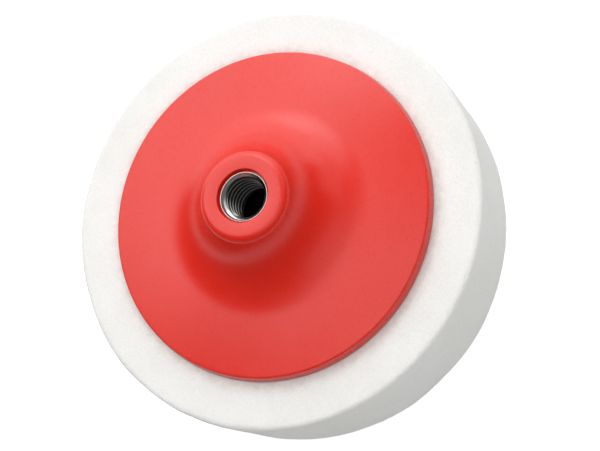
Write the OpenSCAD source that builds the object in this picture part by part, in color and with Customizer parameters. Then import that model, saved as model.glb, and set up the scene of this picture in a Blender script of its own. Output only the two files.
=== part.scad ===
// Foam polishing pad with its own backing plate, for a polisher with a 5/8-11 UNC spindle.
// Millimetres. +Z runs along the spindle axis, out of the hub. Z = 0 is the polishing face.

/* [Foam pad] */
// Diameter of the foam where it meets the backing plate
foam_d = 150; // [146:1:160]
// Thickness of the foam
foam_h = 50; // [40:1:60]
// How far the wall leans in by the polishing face
foam_taper = 1.4; // [0:0.1:3]
// Rounding between the wall and the polishing face
foam_edge_r = 16; // [4:1:20]
// Thickness of the adhesive between the foam and the backing plate
glue_t = 0.3; // [0.2:0.1:1]
// How far the adhesive stops short of the edge of the plate
glue_setback = 0.6; // [0.5:0.1:4]

/* [Backing plate] */
// Diameter of the plate at its underside
plate_d = 117; // [114:1:122]
// Height of the rim
rim_h = 3.8; // [3:0.1:5]
// How far the wall of the rim leans in
rim_draft = 0.6; // [0.2:0.1:1]
// Rounding of the top corner of the rim
rim_r = 0.8; // [0.4:0.1:1.2]
// Slope of the flat ring between the rim and the flare
ring_slope = 5; // [3:0.5:7]
// Radius where the flare starts to rise from the ring
flare_start_r = 38; // [37:0.5:40]
// Radius of the arc that sweeps up from the ring to the hub
flare_arc_r = 25; // [24:0.5:26]
// Height of the hub above the underside of the plate
hub_h = 25.9; // [25:0.1:27]
// Rounding between the side of the hub and its face
hub_r = 3; // [2:0.1:3.5]
// Diameter of the recess around the mouth of the insert
mouth_d = 18.4; // [18:0.1:20]
// Depth of the recess around the mouth of the insert
mouth_depth = 2.4; // [2:0.1:3]
// Thickness of the flare above the coring
flare_wall = 3.5; // [3:0.1:4.5]
// Number of ribs in the coring
rib_count = 12; // [8:1:16]
// Thickness of a rib
rib_t = 2.4; // [2:0.1:3]

/* [Threaded insert] */
// Major diameter of the thread, 5/8 inch
thread_d = 15.875; // [14:0.005:16]
// Threads to the inch
threads_per_inch = 11; // [11:1:13]
// Length of the threaded bore, with its countersink
thread_l = 17; // [15:0.5:17.5]
// Depth of the countersink
countersink_depth = 2; // [1:0.1:3]
// Diameter of the collar that shows in the hub
collar_d = 17.3; // [17:0.1:17.6]
// Height of the collar above the splined barrel
collar_l = 2.6; // [2:0.1:4]
// How far the face of the insert is below the face of the hub
insert_recess = 1.35; // [0.5:0.05:1.5]
// Diameter over the splines that key the insert into the plate
spline_d = 23; // [22:0.5:24]
// Number of grooves between the splines
spline_count = 18; // [12:1:20]

/* [Hidden] */
$fn = 120;
past = 1; // how far a cutting shape runs past the face that it cuts

// Heights above the polishing face
plate_z = foam_h + glue_t;
insert_z = plate_z + hub_h - insert_recess;

// Foam
foam_lip_r = 1.2;

// Rim: centre of its rounded corner, from the axis and up from the underside of the plate
rim_centre = [plate_d / 2 - rim_draft - rim_r, rim_h - rim_r];

// Flare: centre of its arc, which is tangent to the sloping ring
flare_start_h = rim_h + (rim_centre.x - flare_start_r) * tan(ring_slope);
flare_centre = [flare_start_r, flare_start_h] + flare_arc_r * [sin(ring_slope), cos(ring_slope)];

// Shoulder of the hub: centre of its arc, which is tangent to the flare and to the face of the hub
shoulder_drop = flare_centre.y - hub_h + hub_r;
shoulder_reach = sqrt(pow(flare_arc_r + hub_r, 2) - pow(shoulder_drop, 2));
shoulder_centre = flare_centre - [shoulder_reach, shoulder_drop];
shoulder_slope = atan2(shoulder_reach, shoulder_drop);

// Coring under the flare, between the core that holds the insert and the ring
core_wall = 4.5;
core_r = spline_d / 2 + core_wall;
coring_r = flare_start_r - 2;

// Bore of the insert. The crests of a 60 degree internal thread are 0.5413 pitch inside its major radius.
thread_pitch = 25.4 / threads_per_inch;
crest_r = thread_d / 2 - 0.5413 * thread_pitch;
countersink_r = collar_d / 2 - 0.3;
relief_r = thread_d / 2 + 0.5;
bore_floor = 1.2; // thickness of the closed end, which kept the plate's plastic out of the thread

// Outside of the insert
insert_l = 20.5;
collar_chamfer = 0.2;
neck_r = 9.9;
neck_l = 2.5;
lower_spline_l = 8;
spline_groove_r = 0.9;

// Points on an arc that turns from one angle to the other about its centre
function arc(centre, radius, from, to, steps) =
    [for (i = [0:steps])
        let (t = from + (to - from) * i / steps)
        centre + radius * [cos(t), sin(t)]];

// Angle at which a circle's lower half is at a distance x from the axis
function lower_angle(centre, radius, x) = -acos((x - centre.x) / radius);

module foam_pad() {
    edge_centre = [foam_d / 2 - foam_taper - foam_edge_r, foam_edge_r];
    lip_centre = [foam_d / 2 - foam_lip_r, foam_h - foam_lip_r];
    color("whitesmoke")
        rotate_extrude()
            polygon(concat(
                [[0, foam_h], [0, 0]],
                arc(edge_centre, foam_edge_r, -90, 0, 9),
                arc(lip_centre, foam_lip_r, 0, 90, 3)
            ));
}

module adhesive_layer() {
    color("lightyellow")
        translate([0, 0, foam_h])
            cylinder(d = plate_d - 2 * glue_setback, h = glue_t);
}

// Half section of the plate without its socket and coring
module plate_outline() {
    polygon(concat(
        [[0, 0], [plate_d / 2, 0]],
        arc(rim_centre, rim_r, 0, 90 - ring_slope, 4),
        arc(flare_centre, flare_arc_r, -90 - ring_slope, -90 - shoulder_slope, 14),
        arc(shoulder_centre, hub_r, 90 - shoulder_slope, 90, 6),
        [[0, hub_h]]
    ));
}

// Half section of the hollow under the flare
module coring_outline() {
    inner_r = flare_arc_r + flare_wall;
    polygon(concat(
        [[core_r, -past], [coring_r, -past]],
        arc(
            flare_centre, inner_r,
            lower_angle(flare_centre, inner_r, coring_r),
            lower_angle(flare_centre, inner_r, core_r),
            8
        )
    ));
}

module ribs() {
    for (i = [0:rib_count - 1])
        rotate(360 * i / rib_count)
            translate([core_r - past, -rib_t / 2, -2 * past])
                cube([coring_r - core_r + 2 * past, rib_t, hub_h]);
}

// Outside of the insert, measured from its face at Z = 0. The plate's socket is this shape too.
module insert_body() {
    collar_r = collar_d / 2;
    spline_r = spline_d / 2;
    neck_bottom = lower_spline_l - insert_l;
    difference() {
        rotate_extrude()
            polygon([
                [0, 0],
                [collar_r - collar_chamfer, 0],
                [collar_r, -collar_chamfer],
                [collar_r, -collar_l],
                [spline_r, -collar_l],
                [spline_r, neck_bottom + neck_l],
                [neck_r, neck_bottom + neck_l],
                [neck_r, neck_bottom],
                [spline_r, neck_bottom],
                [spline_r, -insert_l],
                [0, -insert_l]
            ]);
        for (i = [0:spline_count - 1])
            rotate(360 * i / spline_count)
                translate([spline_r, 0, -insert_l - past])
                    cylinder(r = spline_groove_r, h = insert_l - collar_l / 2 + past);
    }
}

module backing_plate() {
    color("crimson")
        translate([0, 0, plate_z])
            difference() {
                rotate_extrude()
                    plate_outline();
                difference() {
                    rotate_extrude()
                        coring_outline();
                    ribs();
                }
                translate([0, 0, hub_h - insert_recess])
                    insert_body();
                translate([0, 0, hub_h - mouth_depth])
                    cylinder(d = mouth_d, h = mouth_depth + past);
            }
}

module threaded_insert() {
    countersink_slope = (countersink_r - crest_r) / countersink_depth;
    color("silver")
        translate([0, 0, insert_z])
            difference() {
                insert_body();
                rotate_extrude()
                    polygon([
                        [0, past],
                        [countersink_r + past * countersink_slope, past],
                        [crest_r, -countersink_depth],
                        [crest_r, -thread_l],
                        [relief_r, -thread_l - (relief_r - crest_r)],
                        [relief_r, -insert_l + bore_floor],
                        [0, -insert_l + bore_floor]
                    ]);
            }
}

foam_pad();
adhesive_layer();
backing_plate();
threaded_insert();
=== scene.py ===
"""Looks of a foam polishing pad on its moulded backing plate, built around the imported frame.

The pad stands on its polishing face with its hub up. Lengths are in metres, and named angles in
degrees.
"""

from math import acos, atan2, cos, degrees, pi, radians, sin, sqrt, tan

import bmesh
import bpy
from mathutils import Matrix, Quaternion, Vector


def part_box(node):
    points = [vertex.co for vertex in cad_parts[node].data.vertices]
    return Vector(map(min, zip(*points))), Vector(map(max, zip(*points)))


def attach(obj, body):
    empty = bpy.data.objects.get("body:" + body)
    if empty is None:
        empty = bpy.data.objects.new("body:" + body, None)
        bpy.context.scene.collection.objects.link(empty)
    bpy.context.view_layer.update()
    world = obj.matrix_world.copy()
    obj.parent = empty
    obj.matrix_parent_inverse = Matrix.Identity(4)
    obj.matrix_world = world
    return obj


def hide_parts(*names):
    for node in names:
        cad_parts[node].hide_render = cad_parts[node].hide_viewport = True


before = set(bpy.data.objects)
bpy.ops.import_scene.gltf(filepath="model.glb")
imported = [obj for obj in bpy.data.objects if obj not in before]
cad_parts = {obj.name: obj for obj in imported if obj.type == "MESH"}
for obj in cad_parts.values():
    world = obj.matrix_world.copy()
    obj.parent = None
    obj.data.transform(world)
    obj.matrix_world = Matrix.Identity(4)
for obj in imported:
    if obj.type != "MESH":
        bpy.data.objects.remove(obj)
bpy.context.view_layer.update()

MM = 0.001

# Heights and radii that the frame gives
foam_low, foam_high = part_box("foam_pad")
plate_low, plate_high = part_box("backing_plate")
insert_low, insert_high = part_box("threaded_insert")
FOAM_TOP = foam_high.z
FOAM_R = round(foam_high.x, 4)
PLATE_BASE = plate_low.z
HUB_TOP = plate_high.z
PLATE_R = round(plate_high.x, 4)
INSERT_BASE = insert_low.z
INSERT_TOP = insert_high.z

# Foam
FOAM_TAPER = 1.4 * MM
FOAM_EDGE_R = 16 * MM
FOAM_LIP = 1.4 * MM
FOAM_VOXEL = 0.82 * MM
DIP_DEPTH = 0.8 * MM
DIP_WIDTH = 4 * MM
TOP_BAND = 2 * MM  # how deep the plate shapes the foam
FOAM_CLEARANCE = 0.02 * MM  # between the foam's skin and the adhesive

# Backing plate
RIM_H = 3.8 * MM
RIM_DRAFT = 0.6 * MM
RIM_R = 0.8 * MM
RING_SLOPE = 5
FLARE_START_R = 38 * MM
FLARE_ARC_R = 25 * MM
HUB_R = 3 * MM
MOUTH_R = 9.2 * MM
MOUTH_DEPTH = 2.4 * MM
FLARE_WALL = 3.5 * MM
CORE_R = 16 * MM
CORING_SETBACK = 2 * MM  # from the start of the flare
RIBS = 12
RIB_T = 2.4 * MM
FOOT_R = 0.25 * MM
LIP_R = 0.3 * MM
PLATE_SIDES = 256

# Adhesive between the two
GLUE_R = 57.6 * MM
GLUE_BULGE = 0.1 * MM

# Threaded insert, with a 5/8-11 UNC thread
COLLAR_R = 8.65 * MM
COLLAR_L = 2.6 * MM
COLLAR_CHAMFER = 0.2 * MM
SPLINE_R = 11.5 * MM
SPLINES = 18
SPLINE_GROOVE_R = 0.9 * MM
LOWER_SPLINE_L = 8 * MM
NECK_R = 9.9 * MM
NECK_L = 2.5 * MM
THREAD_R = 7.9375 * MM
PITCH = 25.4 / 11 * MM
THREAD_L = 17 * MM
CREST_R = THREAD_R - 0.5413 * PITCH
FLANK_ANGLE = 30
TAP_TURNS = 9
TAP_STEPS = 96  # in each turn
TAP_OVERRUN = 1.2 * MM  # how far the tap runs into the relief
COUNTERSINK_R = COLLAR_R - 0.3 * MM
COUNTERSINK_DEPTH = 2 * MM
RELIEF_R = THREAD_R + 0.5 * MM
BORE_FLOOR = 1.2 * MM
INSERT_SIDES = 144

# Floor: the glow of the lit paper to the lens, and to everything else
FLOOR_GLOW = (0.6, 0.6, 0.6, 1)
FLOOR_LIGHT = (0.08, 0.08, 0.08, 1)
FLOOR_DROP = 0.3 * MM  # below the pad, so that the two faces don't meet

# Lights: world's strength, then each softbox's turn and lift about the pad in degrees, its distance,
# width and height in metres, and its power in watts. A glare-free one isn't mirrored in anything.
WORLD_LIGHT = 0.12
SOFTBOXES = {
    "overhead": (275, 67, 1.3, 1.1, 1.1, 8.9),
    "ceiling": (100, 84, 1.3, 0.7, 0.7, 1.6),
    "back_window": (75, 48, 1.3, 1.5, 0.75, 5.5),
    "window_corner": (33, 44, 1.25, 0.75, 0.6, 2.2),
    "left_fill": (104, 63, 1.3, 0.8, 0.6, 1.1),
    "low_strip": (52, 20, 1.3, 2.6, 0.8, 9.2),
    "right_fill": (350, 35, 1.3, 0.75, 0.75, 1.2),
}
GLARE_FREE = ("overhead",)

PAST = 1 * MM  # how far a cutting shape runs past the face that it cuts


# ---- Modelling helpers ----


def only(piece):
    """Makes piece the one selected and active object."""
    bpy.ops.object.select_all(action="DESELECT")
    piece.select_set(True)
    bpy.context.view_layer.objects.active = piece


def finish_modifier(piece, kind, **settings):
    """Adds a modifier to a piece and applies it."""
    only(piece)
    bpy.ops.object.modifier_add(type=kind)
    modifier = piece.modifiers[-1]
    for name, value in settings.items():
        setattr(modifier, name, value)
    bpy.ops.object.modifier_apply(modifier=modifier.name)


def new_piece(name, mesh_operator, **settings):
    """Adds a primitive at its size and place, with its place in its mesh."""
    bpy.ops.object.select_all(action="DESELECT")
    mesh_operator(**settings)
    piece = bpy.context.object
    piece.name = name
    piece.data.name = name
    bpy.ops.object.transform_apply(location=True, rotation=True, scale=True)
    return piece


def arc(centre, radius, start, end, steps):
    """Points on an arc of a half section, by angles in degrees."""
    turns = [radians(start + (end - start) * i / steps) for i in range(steps + 1)]
    return [(centre[0] + radius * cos(t), centre[1] + radius * sin(t)) for t in turns]


def lathe(name, outline, sides, closed=False):
    """A turned piece: a circle extruded from point to point of a half section.

    Each point is (radius, height). An open outline gets a flat face at both ends, and a closed one
    comes back to its first point.
    """
    radius, height = outline[0]
    piece = new_piece(
        name,
        bpy.ops.mesh.primitive_circle_add,
        vertices=sides,
        radius=radius,
        location=(0, 0, height),
        fill_type="NOTHING" if closed else "NGON",
    )
    bpy.ops.object.mode_set(mode="EDIT")
    bpy.ops.mesh.select_mode(type="EDGE")
    bpy.ops.mesh.select_all(action="SELECT")
    for next_radius, next_height in outline[1:]:
        rise = (0, 0, next_height - height)
        bpy.ops.mesh.extrude_edges_move(TRANSFORM_OT_translate={"value": rise})
        scale = next_radius / radius
        bpy.ops.transform.resize(value=(scale, scale, 1), center_override=(0, 0, 0))
        radius, height = next_radius, next_height
    if not closed:
        bpy.ops.mesh.edge_face_add()
    bpy.ops.mesh.select_all(action="SELECT")
    bpy.ops.mesh.remove_doubles(threshold=0.001 * MM)
    bpy.ops.mesh.normals_make_consistent(inside=False)
    bpy.ops.object.mode_set(mode="OBJECT")
    return piece


def around(piece, count):
    """Joins count copies of a piece, evenly spaced about the axis, into one object."""
    copies = [piece]
    for i in range(1, count):
        only(piece)
        bpy.ops.object.duplicate()
        copy = bpy.context.object
        turn = 2 * pi * i / count
        bpy.ops.transform.rotate(value=-turn, orient_axis="Z", center_override=(0, 0, 0))
        bpy.ops.object.transform_apply(location=True, rotation=True, scale=True)
        copies.append(copy)
    only(piece)
    for copy in copies:
        copy.select_set(True)
    bpy.ops.object.join()
    return piece


def carve(piece, cutter):
    """Cuts one piece out of another and removes the cutter."""
    finish_modifier(piece, "BOOLEAN", operation="DIFFERENCE", solver="EXACT", object=cutter)
    bpy.data.objects.remove(cutter)


def smooth(piece, angle=30):
    """Shades a piece smooth, apart from edges that turn by more than an angle in degrees."""
    only(piece)
    bpy.ops.object.shade_smooth_by_angle(angle=radians(angle))


# ---- Threaded insert ----


def insert_body(name):
    """Outside of the insert: collar, two splined barrels and the neck between.

    The same shape cuts the insert's socket in the plate.
    """
    neck_low = INSERT_BASE + LOWER_SPLINE_L
    collar_low = INSERT_TOP - COLLAR_L
    body = lathe(
        name,
        [
            (SPLINE_R, INSERT_BASE),
            (SPLINE_R, neck_low),
            (NECK_R, neck_low),
            (NECK_R, neck_low + NECK_L),
            (SPLINE_R, neck_low + NECK_L),
            (SPLINE_R, collar_low),
            (COLLAR_R, collar_low),
            (COLLAR_R, INSERT_TOP - COLLAR_CHAMFER),
            (COLLAR_R - COLLAR_CHAMFER, INSERT_TOP),
        ],
        sides=INSERT_SIDES,
    )
    groove_low = INSERT_BASE - PAST
    groove_high = collar_low + COLLAR_L / 2
    groove = new_piece(
        "groove",
        bpy.ops.mesh.primitive_cylinder_add,
        vertices=24,
        radius=SPLINE_GROOVE_R,
        depth=groove_high - groove_low,
        location=(SPLINE_R, 0, (groove_low + groove_high) / 2),
    )
    carve(body, around(groove, SPLINES))
    return body


def thread_tap():
    """The space that a tap clears: a groove of trapezoid section, swept along its right-hand helix."""
    inner_r = CREST_R - 0.2 * MM
    root_flat = PITCH / 8
    mouth_width = root_flat + 2 * (THREAD_R - inner_r) * tan(radians(FLANK_ANGLE))
    start = INSERT_TOP - THREAD_L - TAP_OVERRUN
    tap = new_piece(
        "tap",
        bpy.ops.mesh.primitive_plane_add,
        size=1,
        location=((inner_r + THREAD_R) / 2, 0, start),
        rotation=(pi / 2, 0, 0),
    )
    only(tap)
    bpy.ops.object.mode_set(mode="EDIT")
    section = bmesh.from_edit_mesh(tap.data)
    for corner in section.verts:
        outside = corner.co.x > (inner_r + THREAD_R) / 2
        above = corner.co.z > start
        width = root_flat if outside else mouth_width
        corner.co.x = THREAD_R if outside else inner_r
        corner.co.z = start + (width / 2 if above else -width / 2)
    bmesh.update_edit_mesh(tap.data)
    bpy.ops.mesh.select_all(action="SELECT")
    bpy.ops.mesh.delete(type="ONLY_FACE")
    bpy.ops.object.mode_set(mode="OBJECT")
    finish_modifier(
        tap,
        "SCREW",
        axis="Z",
        angle=2 * pi,
        screw_offset=PITCH,
        iterations=TAP_TURNS,
        steps=TAP_STEPS,
        render_steps=TAP_STEPS,
        use_smooth_shade=False,
    )
    only(tap)
    bpy.ops.object.mode_set(mode="EDIT")
    bpy.ops.mesh.select_all(action="SELECT")
    bpy.ops.mesh.fill_holes(sides=4)
    bpy.ops.mesh.normals_make_consistent(inside=False)
    bpy.ops.object.mode_set(mode="OBJECT")
    return tap


def make_insert():
    """The splined body, bored to the thread's crests, relieved at the bottom and tapped."""
    insert = insert_body("threaded_insert_steel")
    thread_end = INSERT_TOP - THREAD_L
    countersink_slope = (COUNTERSINK_R - CREST_R) / COUNTERSINK_DEPTH
    bore = lathe(
        "bore",
        [
            (COUNTERSINK_R + PAST * countersink_slope, INSERT_TOP + PAST),
            (CREST_R, INSERT_TOP - COUNTERSINK_DEPTH),
            (CREST_R, thread_end),
            (RELIEF_R, thread_end - (RELIEF_R - CREST_R)),
            (RELIEF_R, INSERT_BASE + BORE_FLOOR),
        ],
        sides=INSERT_SIDES,
    )
    carve(insert, bore)
    carve(insert, thread_tap())
    smooth(insert, 25)
    return insert


# ---- Backing plate ----


def flare_geometry():
    """Centres of the arcs of the rim, the flare and the hub's shoulder, and a slope in degrees.

    The slope is that of the side of the hub where the flare meets the shoulder.
    """
    rim_centre = (PLATE_R - RIM_DRAFT - RIM_R, PLATE_BASE + RIM_H - RIM_R)
    slope = radians(RING_SLOPE)
    start_h = PLATE_BASE + RIM_H + (rim_centre[0] - FLARE_START_R) * tan(slope)
    flare = (FLARE_START_R + FLARE_ARC_R * sin(slope), start_h + FLARE_ARC_R * cos(slope))
    drop = flare[1] - HUB_TOP + HUB_R
    reach = sqrt((FLARE_ARC_R + HUB_R) ** 2 - drop**2)
    shoulder = (flare[0] - reach, flare[1] - drop)
    shoulder_slope = degrees(acos(drop / (FLARE_ARC_R + HUB_R)))
    return rim_centre, flare, shoulder, shoulder_slope


def coring(flare):
    """The hollows under the flare, with a rib between each two."""
    inner_r = FLARE_ARC_R + FLARE_WALL
    coring_r = FLARE_START_R - CORING_SETBACK
    below = PLATE_BASE - PAST

    def angle_at(radius):
        return -degrees(acos((radius - flare[0]) / inner_r))

    hollow = lathe(
        "hollow",
        [
            (CORE_R, below),
            (coring_r, below),
            *arc(flare, inner_r, angle_at(coring_r), angle_at(CORE_R), steps=10),
            (CORE_R, below),
        ],
        sides=192,
        closed=True,
    )
    length = coring_r - CORE_R + 2 * PAST
    height = HUB_TOP - PLATE_BASE + 4 * PAST
    rib = new_piece(
        "rib",
        bpy.ops.mesh.primitive_cube_add,
        size=1,
        location=((CORE_R + coring_r) / 2, 0, (PLATE_BASE + HUB_TOP) / 2),
        scale=(length, RIB_T, height),
    )
    carve(hollow, around(rib, RIBS))
    return hollow


def make_plate():
    """Rim, ring, flare, hub and mouth in one turning, then the coring and the insert's socket."""
    rim_centre, flare, shoulder, shoulder_slope = flare_geometry()
    plate = lathe(
        "backing_plate_moulding",
        [
            *arc((PLATE_R - FOOT_R, PLATE_BASE + FOOT_R), FOOT_R, -90, 0, steps=3),
            *arc(rim_centre, RIM_R, 0, 90 - RING_SLOPE, steps=6),
            *arc(flare, FLARE_ARC_R, -90 - RING_SLOPE, -90 - shoulder_slope, steps=24),
            *arc(shoulder, HUB_R, 90 - shoulder_slope, 90, steps=10),
            *arc((MOUTH_R + LIP_R, HUB_TOP - LIP_R), LIP_R, 90, 180, steps=4),
            (MOUTH_R, HUB_TOP - MOUTH_DEPTH),
        ],
        sides=PLATE_SIDES,
    )
    carve(plate, coring(flare))
    carve(plate, insert_body("socket"))
    smooth(plate)
    return plate


# ---- Foam ----


def make_foam():
    """A cut block of foam: tapered, rounded at the polishing face, then made uneven and cellular."""
    foam = new_piece(
        "foam_block",
        bpy.ops.mesh.primitive_cylinder_add,
        vertices=180,
        radius=FOAM_R,
        depth=FOAM_TOP,
        location=(0, 0, FOAM_TOP / 2),
    )
    shape_foam_edges(foam)
    finish_modifier(foam, "REMESH", mode="VOXEL", voxel_size=FOAM_VOXEL)
    roughen_foam(foam)
    settle_foam(foam)
    only(foam)
    bpy.ops.object.shade_smooth()
    return foam


def select_rim(piece, height):
    """Selects the edges of a cylinder's round rim at a height, in edit mode."""
    bpy.ops.mesh.select_mode(type="EDGE")
    bpy.ops.mesh.select_all(action="DESELECT")
    mesh = bmesh.from_edit_mesh(piece.data)
    for edge in mesh.edges:
        edge.select = all(abs(end.co.z - height) < 0.01 * MM for end in edge.verts)
    bmesh.update_edit_mesh(piece.data)


def shape_foam_edges(foam):
    """Leans the wall in and rounds the lower edge, then softens the cut upper edge."""
    only(foam)
    bpy.ops.object.mode_set(mode="EDIT")
    select_rim(foam, 0)
    lean = (FOAM_R - FOAM_TAPER) / FOAM_R
    bpy.ops.transform.resize(value=(lean, lean, 1), center_override=(0, 0, 0))
    bpy.ops.mesh.bevel(offset=FOAM_EDGE_R, offset_type="OFFSET", segments=14, profile=0.5)
    select_rim(foam, FOAM_TOP)
    bpy.ops.mesh.bevel(offset=FOAM_LIP, offset_type="OFFSET", segments=3, profile=0.5)
    bpy.ops.object.mode_set(mode="OBJECT")


def roughen_foam(foam):
    """The knife's slow wander, and the cells it cut through."""
    wander = bpy.data.textures.new("knife_wander", "CLOUDS")
    wander.noise_scale = 22 * MM
    wander.noise_depth = 1
    finish_modifier(foam, "DISPLACE", texture=wander, strength=0.7 * MM, mid_level=0.5)
    cells = bpy.data.textures.new("cut_cells", "CLOUDS")
    cells.noise_scale = 1.1 * MM
    cells.noise_depth = 2
    finish_modifier(foam, "DISPLACE", texture=cells, strength=0.2 * MM, mid_level=0.5)


def settle_foam(foam):
    """Keeps the foam flat below and under the plate, and dips it where the plate's edge presses in."""
    for vertex in foam.data.vertices:
        place = vertex.co
        radius = sqrt(place.x**2 + place.y**2)
        if place.z > FOAM_TOP - TOP_BAND:
            if radius < PLATE_R:
                place.z = min(place.z, FOAM_TOP - FOAM_CLEARANCE)
            away = abs(radius - PLATE_R) / DIP_WIDTH
            if away < 1:
                place.z -= DIP_DEPTH * (1 - away) ** 2
        place.z = max(place.z, 0)


# ---- Adhesive ----


def make_adhesive():
    """A thin coat between foam and plate, squeezed out further in some places than in others."""
    middle = (FOAM_TOP + PLATE_BASE) / 2
    edge_r = GLUE_R - GLUE_BULGE
    coat = lathe(
        "contact_adhesive",
        [
            (edge_r, FOAM_TOP),
            (GLUE_R, middle),
            (edge_r, PLATE_BASE),
        ],
        sides=PLATE_SIDES,
    )
    for vertex in coat.data.vertices:
        place = vertex.co
        turn = atan2(place.y, place.x)
        ooze = 0.25 * sin(5 * turn) + 0.2 * sin(13 * turn + 1) + 0.15 * sin(37 * turn + 2)
        spread = 1 + ooze * MM / GLUE_R
        place.x *= spread
        place.y *= spread
    smooth(coat)
    return coat


# ---- Shader node helpers ----


def add_node(tree, kind, inputs, **settings):
    """Adds a shader node with its settings. An input is a number, a colour or another node's output."""
    made = tree.nodes.new("ShaderNode" + kind)
    for name, value in settings.items():
        setattr(made, name, value)
    for name, value in inputs.items():
        if isinstance(value, bpy.types.NodeSocket):
            tree.links.new(value, made.inputs[name])
        else:
            made.inputs[name].default_value = value
    return made


def calculate(tree, operation, first, second=0.0, third=0.0):
    """One step of arithmetic on numbers or on other nodes' outputs."""
    inputs = {0: first, 1: second, 2: third}
    return add_node(tree, "Math", inputs, operation=operation).outputs["Value"]


def fade(tree, value, start, end, low=0.0, high=1.0):
    """Eases from low to high while value goes from start to end."""
    inputs = {"Value": value, "From Min": start, "From Max": end, "To Min": low, "To Max": high}
    return add_node(tree, "MapRange", inputs, interpolation_type="SMOOTHSTEP").outputs["Result"]


def blend(tree, amount, first, second):
    """Mixes two colours by an amount from 0 to 1."""
    mix = tree.nodes.new("ShaderNodeMix")
    mix.data_type = "RGBA"
    for socket, value in ((mix.inputs[0], amount), (mix.inputs[6], first), (mix.inputs[7], second)):
        if isinstance(value, bpy.types.NodeSocket):
            tree.links.new(value, socket)
        else:
            socket.default_value = value
    return mix.outputs[2]


def noise(tree, place, scale, detail=2.0, roughness=0.5):
    """Cloudy noise around 0.5, with its scale in patches to the metre."""
    inputs = {"Vector": place, "Scale": scale, "Detail": detail, "Roughness": roughness}
    return add_node(tree, "TexNoise", inputs).outputs[0]


def round_place(tree, place):
    """Distance from the axis, and height."""
    flat = add_node(tree, "VectorMath", {0: place, 1: (1, 1, 0)}, operation="MULTIPLY")
    radius = add_node(tree, "VectorMath", {0: flat.outputs["Vector"]}, operation="LENGTH")
    height = add_node(tree, "SeparateXYZ", {"Vector": place})
    return radius.outputs["Value"], height.outputs["Z"]


# ---- Effects that several materials share ----

SOCKETS = {"value": "NodeSocketFloat", "vector": "NodeSocketVector", "colour": "NodeSocketColor"}


def new_effect(name, inputs, outputs):
    """A shader node group. Returns it with its inner sockets: those to read and those to fill."""
    group = bpy.data.node_groups.new(name, "ShaderNodeTree")
    for socket, kind in inputs.items():
        group.interface.new_socket(socket, in_out="INPUT", socket_type=SOCKETS[kind])
    for socket, kind in outputs.items():
        group.interface.new_socket(socket, in_out="OUTPUT", socket_type=SOCKETS[kind])
    entry = group.nodes.new("NodeGroupInput")
    exit_node = group.nodes.new("NodeGroupOutput")
    return group, entry.outputs, exit_node.inputs


def use_effect(tree, group, inputs):
    """Places an effect in a material with its own values, and returns its outputs."""
    made = tree.nodes.new("ShaderNodeGroup")
    made.node_tree = group
    for name, value in inputs.items():
        if isinstance(value, bpy.types.NodeSocket):
            tree.links.new(value, made.inputs[name])
        else:
            made.inputs[name].default_value = value
    return made.outputs


def grain_effect():
    """Fine, even roughness of a surface: 0 in its pits and 1 on its high spots."""
    inputs = {"Place": "vector", "Grains per metre": "value", "Softness": "value"}
    group, read, fill = new_effect("grain", inputs, {"Grain": "value"})
    speckle = noise(group, read["Place"], read["Grains per metre"], detail=4, roughness=0.6)
    low = calculate(group, "SUBTRACT", 0.5, read["Softness"])
    high = calculate(group, "ADD", 0.5, read["Softness"])
    group.links.new(fade(group, speckle, low, high), fill["Grain"])
    return group


def drift_effect():
    """Slow change from one colour to another over a surface, as resin, foam and plating have."""
    inputs = {
        "Place": "vector",
        "Patches per metre": "value",
        "Main colour": "colour",
        "Other colour": "colour",
    }
    group, read, fill = new_effect("colour_drift", inputs, {"Colour": "colour"})
    patch = noise(group, read["Place"], read["Patches per metre"], detail=3, roughness=0.55)
    amount = fade(group, patch, 0.35, 0.7)
    colour = blend(group, amount, read["Main colour"], read["Other colour"])
    group.links.new(colour, fill["Colour"])
    return group


def scuff_effect():
    """Thin scratches, in two directions, that come in groups: 1 in a scratch."""
    inputs = {"Place": "vector", "Scratches per metre": "value", "Amount": "value"}
    group, read, fill = new_effect("scuffs", inputs, {"Scuff": "value"})
    lines = []
    for turn, stretch in ((0.5, (1, 0.04, 0.3)), (2.1, (1, 0.05, 0.3))):  # turns in radians
        mapping = {"Vector": read["Place"], "Rotation": (0, 0, turn), "Scale": stretch}
        turned = add_node(group, "Mapping", mapping)
        line = noise(group, turned.outputs["Vector"], read["Scratches per metre"], detail=2)
        lines.append(fade(group, line, 0.68, 0.76))
    either = calculate(group, "MAXIMUM", lines[0], lines[1])
    clump = fade(group, noise(group, read["Place"], 45.0), 0.5, 0.65)
    grouped = calculate(group, "MULTIPLY", either, clump)
    group.links.new(calculate(group, "MULTIPLY", grouped, read["Amount"]), fill["Scuff"])
    return group


def dust_effect():
    """Dust that settles on what faces up, in soft patches."""
    inputs = {"Place": "vector", "Amount": "value"}
    group, read, fill = new_effect("dust", inputs, {"Dust": "value"})
    normal = add_node(group, "NewGeometry", {}).outputs["Normal"]
    facing_up = add_node(group, "SeparateXYZ", {"Vector": normal}).outputs["Z"]
    upward = fade(group, facing_up, 0.5, 1)
    patch = fade(group, noise(group, read["Place"], 60.0, detail=5, roughness=0.65), 0.42, 0.72)
    speck = fade(group, noise(group, read["Place"], 2600.0), 0.62, 0.72)
    veil = calculate(group, "MULTIPLY_ADD", patch, 0.7, calculate(group, "MULTIPLY", speck, 0.3))
    settled = calculate(group, "MULTIPLY", veil, upward)
    group.links.new(calculate(group, "MULTIPLY", settled, read["Amount"]), fill["Dust"])
    return group


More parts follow.
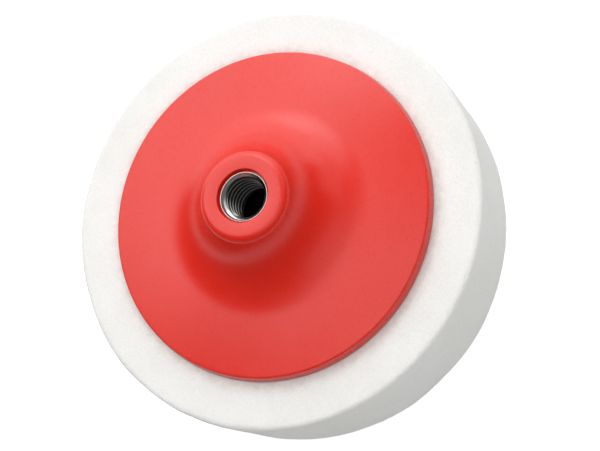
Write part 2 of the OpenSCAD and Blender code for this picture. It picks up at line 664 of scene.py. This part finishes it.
def ring_effect():
    """A band round the axis at one radius and height, broken up unevenly: wear on the plate, painted
    shade on the foam beside the plate.
    """
    inputs = {
        "Place": "vector",
        "Radius": "value",
        "Height": "value",
        "Width": "value",
        "Amount": "value",
    }
    group, read, fill = new_effect("ring_wear_and_shade", inputs, {"Wear": "value"})
    radius, height = round_place(group, read["Place"])
    out = calculate(group, "SUBTRACT", radius, read["Radius"])
    up = calculate(group, "SUBTRACT", height, read["Height"])
    squares = calculate(group, "MULTIPLY_ADD", out, out, calculate(group, "MULTIPLY", up, up))
    away = calculate(group, "SQRT", squares)
    band = fade(group, calculate(group, "DIVIDE", away, read["Width"]), 0.2, 1, low=1, high=0)
    patch = fade(group, noise(group, read["Place"], 260.0, detail=4, roughness=0.7), 0.4, 0.62)
    worn = calculate(group, "MULTIPLY", band, patch)
    group.links.new(calculate(group, "MULTIPLY", worn, read["Amount"]), fill["Wear"])
    return group


def turning_effect():
    """Fine rings left by a turning tool, on the steel and, through the mould, on the plastic."""
    inputs = {"Place": "vector", "Rings per metre": "value"}
    group, read, fill = new_effect("turning_marks", inputs, {"Ring": "value"})
    radius, height = round_place(group, read["Place"])
    feed = calculate(group, "MULTIPLY_ADD", height, 0.7, radius)
    across = add_node(group, "CombineXYZ", {"X": feed}).outputs["Vector"]
    ring = noise(group, across, read["Rings per metre"], detail=3, roughness=0.7)
    uneven = noise(group, read["Place"], 300.0)
    shaken = calculate(group, "MULTIPLY_ADD", uneven, 0.25, ring)
    group.links.new(fade(group, shaken, 0.4, 0.85), fill["Ring"])
    return group


def cell_effect():
    """Cells of an expanded foam: 1 on the web between them, 0 deep in a pore."""
    inputs = {"Place": "vector", "Cells per metre": "value", "Openness": "value"}
    group, read, fill = new_effect("cells", inputs, {"Web": "value"})
    warp = add_node(group, "TexNoise", {"Vector": read["Place"], "Scale": 900.0, "Detail": 2.0})
    reach = (0.6 * MM, 0.6 * MM, 0.6 * MM)
    pull = add_node(group, "VectorMath", {0: warp.outputs["Color"], 1: reach}, operation="MULTIPLY")
    pulled = add_node(
        group,
        "VectorMath",
        {0: read["Place"], 1: pull.outputs["Vector"]},
        operation="ADD",
    )
    place = pulled.outputs["Vector"]
    large = add_node(group, "TexVoronoi", {"Vector": place, "Scale": read["Cells per metre"]})
    fine_scale = calculate(group, "MULTIPLY", read["Cells per metre"], 2.1)
    small = add_node(group, "TexVoronoi", {"Vector": place, "Scale": fine_scale})
    both = calculate(group, "MULTIPLY_ADD", small.outputs["Distance"], 0.45, large.outputs["Distance"])
    group.links.new(fade(group, both, 0.2, read["Openness"]), fill["Web"])
    return group


GRAIN = grain_effect()
DRIFT = drift_effect()
SCUFFS = scuff_effect()
DUST = dust_effect()
RING_WEAR_AND_SHADE = ring_effect()
TURNING = turning_effect()
CELLS = cell_effect()


# ---- Materials ----

PLATE_RED = (0.75, 0.015, 0.004, 1)
PLATE_DEEP_RED = (0.72, 0.013, 0.003, 1)
RUBBED_RED = (0.86, 0.16, 0.12, 1)
STEEL_BRIGHT = (0.93, 0.93, 0.91, 1)
STEEL_DULL = (0.78, 0.78, 0.75, 1)
FOAM_WHITE = (0.885, 0.88, 0.86, 1)
FOAM_CREAM = (0.86, 0.855, 0.83, 1)
# Grey for the foam's pores: painted shade in the cells
PORE_SHADE_GREY = (0.42, 0.41, 0.39, 1)
ADHESIVE_AMBER = (0.62, 0.47, 0.24, 1)
ADHESIVE_BROWN = (0.45, 0.31, 0.13, 1)
PAPER_WHITE = (0.92, 0.92, 0.92, 1)
PAPER_GREY = (0.90, 0.90, 0.90, 1)
# Also the colour of the painted shade band on the foam beside the plate
DUST_AND_SHADE_COLOUR = (0.62, 0.58, 0.54, 1)
# Near black for the steel's thread roots and bore bottom: painted shade, partly oil in the roots
OIL_AND_SHADE_BLACK = (0.010, 0.009, 0.009, 1)


def new_material(name, piece):
    """A node material on a piece. Returns its nodes, its shader and its place on the piece."""
    finish = bpy.data.materials.new(name)
    finish.use_nodes = True
    piece.data.materials.clear()
    piece.data.materials.append(finish)
    tree = finish.node_tree
    place = tree.nodes.new("ShaderNodeTexCoord").outputs["Object"]
    return tree, tree.nodes["Principled BSDF"], place


def place_drift(tree, place, patches, main, other):
    """The slow drift between two colours, placed in a material."""
    inputs = {
        "Place": place,
        "Patches per metre": patches,
        "Main colour": main,
        "Other colour": other,
    }
    return use_effect(tree, DRIFT, inputs)["Colour"]


def place_grain(tree, place, grains, softness):
    """Grain of a fineness in grains to the metre. The softer it is, the less its spots stand out."""
    inputs = {"Place": place, "Grains per metre": grains, "Softness": softness}
    return use_effect(tree, GRAIN, inputs)["Grain"]


def place_wear_and_shade_band(tree, place, radius, height, width, amount):
    """A band round the axis: real wear on the plate's rim and mouth, painted shade on the foam beside
    the plate.
    """
    inputs = {
        "Place": place,
        "Radius": radius,
        "Height": height,
        "Width": width,
        "Amount": amount,
    }
    return use_effect(tree, RING_WEAR_AND_SHADE, inputs)["Wear"]


def place_cells(tree, place, cells, openness):
    """Foam cells, so many to the metre. The more open they are, the thinner the web between."""
    inputs = {"Place": place, "Cells per metre": cells, "Openness": openness}
    return use_effect(tree, CELLS, inputs)["Web"]


def place_dust(tree, place, amount):
    """Settled dust."""
    return use_effect(tree, DUST, {"Place": place, "Amount": amount})["Dust"]


def place_rings(tree, place, rings):
    """Turning marks, so many to the metre."""
    return use_effect(tree, TURNING, {"Place": place, "Rings per metre": rings})["Ring"]


def connect(tree, shader, colour, roughness, height, depth):
    """Feeds a shader its colour, its roughness, and a relief of a depth in metres."""
    tree.links.new(colour, shader.inputs["Base Color"])
    tree.links.new(roughness, shader.inputs["Roughness"])
    bump = add_node(tree, "Bump", {"Strength": 1.0, "Distance": depth, "Height": height})
    tree.links.new(bump.outputs["Normal"], shader.inputs["Normal"])


def moulded_red(piece):
    """Satin red plastic: the mould's fine grain and faint rings, lightly scuffed, worn and dusty."""
    tree, shader, place = new_material("moulded_red", piece)
    shader.inputs["Specular IOR Level"].default_value = 0.7
    colour = place_drift(tree, place, 24.0, PLATE_RED, PLATE_DEEP_RED)
    grain = place_grain(tree, place, 5200.0, softness=0.2)
    rings = place_rings(tree, place, 1500.0)
    scratches = {"Place": place, "Scratches per metre": 1400.0, "Amount": 0.2}
    scuffs = use_effect(tree, SCUFFS, scratches)["Scuff"]
    corner_r = PLATE_R - RIM_DRAFT - 0.2 * MM
    corner_h = PLATE_BASE + RIM_H - 0.2 * MM
    rim_wear = place_wear_and_shade_band(tree, place, corner_r, corner_h, width=0.7 * MM, amount=0.15)
    lip_r = MOUTH_R + 0.1 * MM
    mouth_wear = place_wear_and_shade_band(tree, place, lip_r, HUB_TOP, width=0.7 * MM, amount=0.4)
    wear = calculate(tree, "MAXIMUM", rim_wear, mouth_wear)
    rubbed = calculate(tree, "MAXIMUM", wear, calculate(tree, "MULTIPLY", scuffs, 0.5))
    colour = blend(tree, calculate(tree, "MULTIPLY", rubbed, 0.35), colour, RUBBED_RED)
    dust = place_dust(tree, place, amount=0.012)
    colour = blend(tree, dust, colour, DUST_AND_SHADE_COLOUR)
    roughness = calculate(tree, "MULTIPLY_ADD", grain, 0.05, 0.26)
    roughness = calculate(tree, "MULTIPLY_ADD", rubbed, 0.15, roughness)
    roughness = calculate(tree, "MULTIPLY_ADD", dust, 0.8, roughness)
    height = calculate(tree, "MULTIPLY_ADD", rings, 0.25, grain)
    height = calculate(tree, "MULTIPLY_ADD", scuffs, -1.5, height)
    connect(tree, shader, colour, roughness, height, 0.003 * MM)


def turned_steel(piece):
    """Bright turned steel, with painted shade in the thread roots (partly dark oil and polish there)
    and painted shade at the bottom of the bore.
    """
    tree, shader, place = new_material("turned_steel", piece)
    shader.inputs["Metallic"].default_value = 1
    colour = place_drift(tree, place, 240.0, STEEL_BRIGHT, STEEL_DULL)
    rings = place_rings(tree, place, 9000.0)
    grain = place_grain(tree, place, 9000.0, softness=0.25)
    radius, height = round_place(tree, place)
    # Thread roots darkened towards near black: painted shade, partly oil and polish
    in_root = fade(tree, radius, CREST_R + 0.02 * MM, CREST_R + 0.22 * MM)
    in_bore = fade(tree, radius, COUNTERSINK_R + 0.1 * MM, COUNTERSINK_R + 0.05 * MM)
    in_thread = fade(tree, height, INSERT_TOP - 1.4 * MM, INSERT_TOP - COUNTERSINK_DEPTH)
    root = calculate(tree, "MULTIPLY", calculate(tree, "MULTIPLY", in_root, in_bore), in_thread)
    thread_end = INSERT_TOP - THREAD_L
    # The bottom of the bore goes near black: painted shade
    deep = fade(tree, height, thread_end + 3.5 * MM, thread_end + 0.5 * MM)
    deep = calculate(tree, "MULTIPLY", deep, in_bore)
    smear = calculate(tree, "MULTIPLY_ADD", grain, 0.15, 0.85)
    oil_and_painted_shade = calculate(tree, "MAXIMUM", calculate(tree, "MULTIPLY", root, smear), deep)
    colour = blend(tree, oil_and_painted_shade, colour, OIL_AND_SHADE_BLACK)
    roughness = calculate(tree, "MULTIPLY_ADD", rings, 0.09, 0.13)
    roughness = calculate(tree, "MULTIPLY_ADD", oil_and_painted_shade, 0.3, roughness)
    relief = calculate(tree, "MULTIPLY_ADD", grain, 0.3, rings)
    connect(tree, shader, colour, roughness, relief, 0.004 * MM)


def cut_foam(piece):
    """White open-cell foam: pores with painted shade, a slightly creamy drift, dust in the cells of the
    upper face, and a painted shade band against the plate.
    """
    tree, shader, place = new_material("cut_foam", piece)
    shader.inputs["Specular IOR Level"].default_value = 0.2
    colour = place_drift(tree, place, 30.0, FOAM_WHITE, FOAM_CREAM)
    web = place_cells(tree, place, 1900.0, openness=0.75)
    grain = place_grain(tree, place, 1800.0, softness=0.3)
    # Pores darkened towards grey: painted shade in the cells
    pore = calculate(tree, "SUBTRACT", 1.0, web)
    colour = blend(tree, calculate(tree, "MULTIPLY", pore, 0.22), colour, PORE_SHADE_GREY)
    # A darker band on the foam where it meets the plate's edge is painted contact shade, joined to the
    # dust below
    painted_shade_at_plate = place_wear_and_shade_band(tree, place, PLATE_R, FOAM_TOP, width=5.5 * MM, amount=0.3)
    dust = calculate(tree, "MAXIMUM", place_dust(tree, place, amount=0.05), painted_shade_at_plate)
    colour = blend(tree, dust, colour, DUST_AND_SHADE_COLOUR)
    roughness = calculate(tree, "MULTIPLY_ADD", grain, 0.1, 0.85)
    height = calculate(tree, "MULTIPLY_ADD", grain, 0.4, web)
    connect(tree, shader, colour, roughness, height, 0.08 * MM)


def dried_adhesive(piece):
    """Amber contact adhesive, dried with small bubbles and the print of the foam."""
    tree, shader, place = new_material("dried_adhesive", piece)
    colour = place_drift(tree, place, 120.0, ADHESIVE_AMBER, ADHESIVE_BROWN)
    web = place_cells(tree, place, 900.0, openness=0.6)
    grain = place_grain(tree, place, 3000.0, softness=0.3)
    colour = blend(tree, place_dust(tree, place, amount=0.3), colour, DUST_AND_SHADE_COLOUR)
    roughness = calculate(tree, "MULTIPLY_ADD", grain, 0.25, 0.3)
    connect(tree, shader, colour, roughness, web, 0.04 * MM)


# ---- Stage ----


def add_floor():
    """A white paper sweep that glows, so that the pad's shadow on it stays light.

    It is see-through from below, so that the polishing face can be looked at.
    """
    floor = new_piece(
        "floor",
        bpy.ops.mesh.primitive_plane_add,
        size=8,
        location=(0, 0, -FLOOR_DROP),
    )
    tree, shader, place = new_material("white_paper", floor)
    colour = place_drift(tree, place, 3.0, PAPER_WHITE, PAPER_GREY)
    tree.links.new(colour, shader.inputs["Base Color"])
    shader.inputs["Roughness"].default_value = 0.9
    seen = add_node(tree, "LightPath", {}).outputs["Is Camera Ray"]
    tree.links.new(blend(tree, seen, FLOOR_LIGHT, FLOOR_GLOW), shader.inputs["Emission Color"])
    shader.inputs["Emission Strength"].default_value = 1
    behind = add_node(tree, "NewGeometry", {}).outputs["Backfacing"]
    tree.links.new(calculate(tree, "SUBTRACT", 1.0, behind), shader.inputs["Alpha"])


def add_camera():
    """A long lens above the pad, rolled so that the hub leans to the upper left."""
    place = Vector((0, -248.4 * MM, FOAM_TOP + 495.3 * MM))
    aim = Vector((1.9 * MM, -11.4 * MM, FOAM_TOP))
    roll = radians(57.4)
    bpy.ops.object.camera_add(location=place)
    camera = bpy.context.object
    camera.data.lens = 96
    camera.data.clip_start = 0.01
    camera.rotation_mode = "QUATERNION"
    facing = (aim - place).to_track_quat("-Z", "Y")
    camera.rotation_quaternion = facing @ Quaternion((0, 0, 1), -roll)
    bpy.context.scene.camera = camera


def add_softbox(name, turn, lift, distance, width, height, power):
    """A soft light that faces the pad, turned about it and lifted above it by angles in degrees."""
    target = Vector((0, 0, FOAM_TOP))
    across = cos(radians(lift))
    along = (across * cos(radians(turn)), across * sin(radians(turn)), sin(radians(lift)))
    place = target + Vector(along) * distance
    bpy.ops.object.light_add(type="AREA", location=place)
    light = bpy.context.object
    light.name = name
    light.data.shape = "RECTANGLE"
    light.data.size = width
    light.data.size_y = height
    light.data.energy = power
    light.visible_glossy = name not in GLARE_FREE
    light.rotation_mode = "QUATERNION"
    light.rotation_quaternion = (target - place).to_track_quat("-Z", "Y")


def add_lights():
    world = bpy.data.worlds.new("studio")
    bpy.context.scene.world = world
    world.use_nodes = True
    background = world.node_tree.nodes["Background"]
    background.inputs["Color"].default_value = (1, 1, 1, 1)
    background.inputs["Strength"].default_value = WORLD_LIGHT
    for name, settings in SOFTBOXES.items():
        add_softbox(name, *settings)
    bpy.context.scene.view_settings.view_transform = "Standard"


# ---- The pad ----

insert = make_insert()
turned_steel(insert)
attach(insert, "root")
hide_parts("threaded_insert")

plate = make_plate()
moulded_red(plate)
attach(plate, "root")
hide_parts("backing_plate")

adhesive = make_adhesive()
dried_adhesive(adhesive)
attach(adhesive, "root")
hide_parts("adhesive_layer")

foam = make_foam()
cut_foam(foam)
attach(foam, "root")
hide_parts("foam_pad")

add_floor()
add_camera()
add_lights()
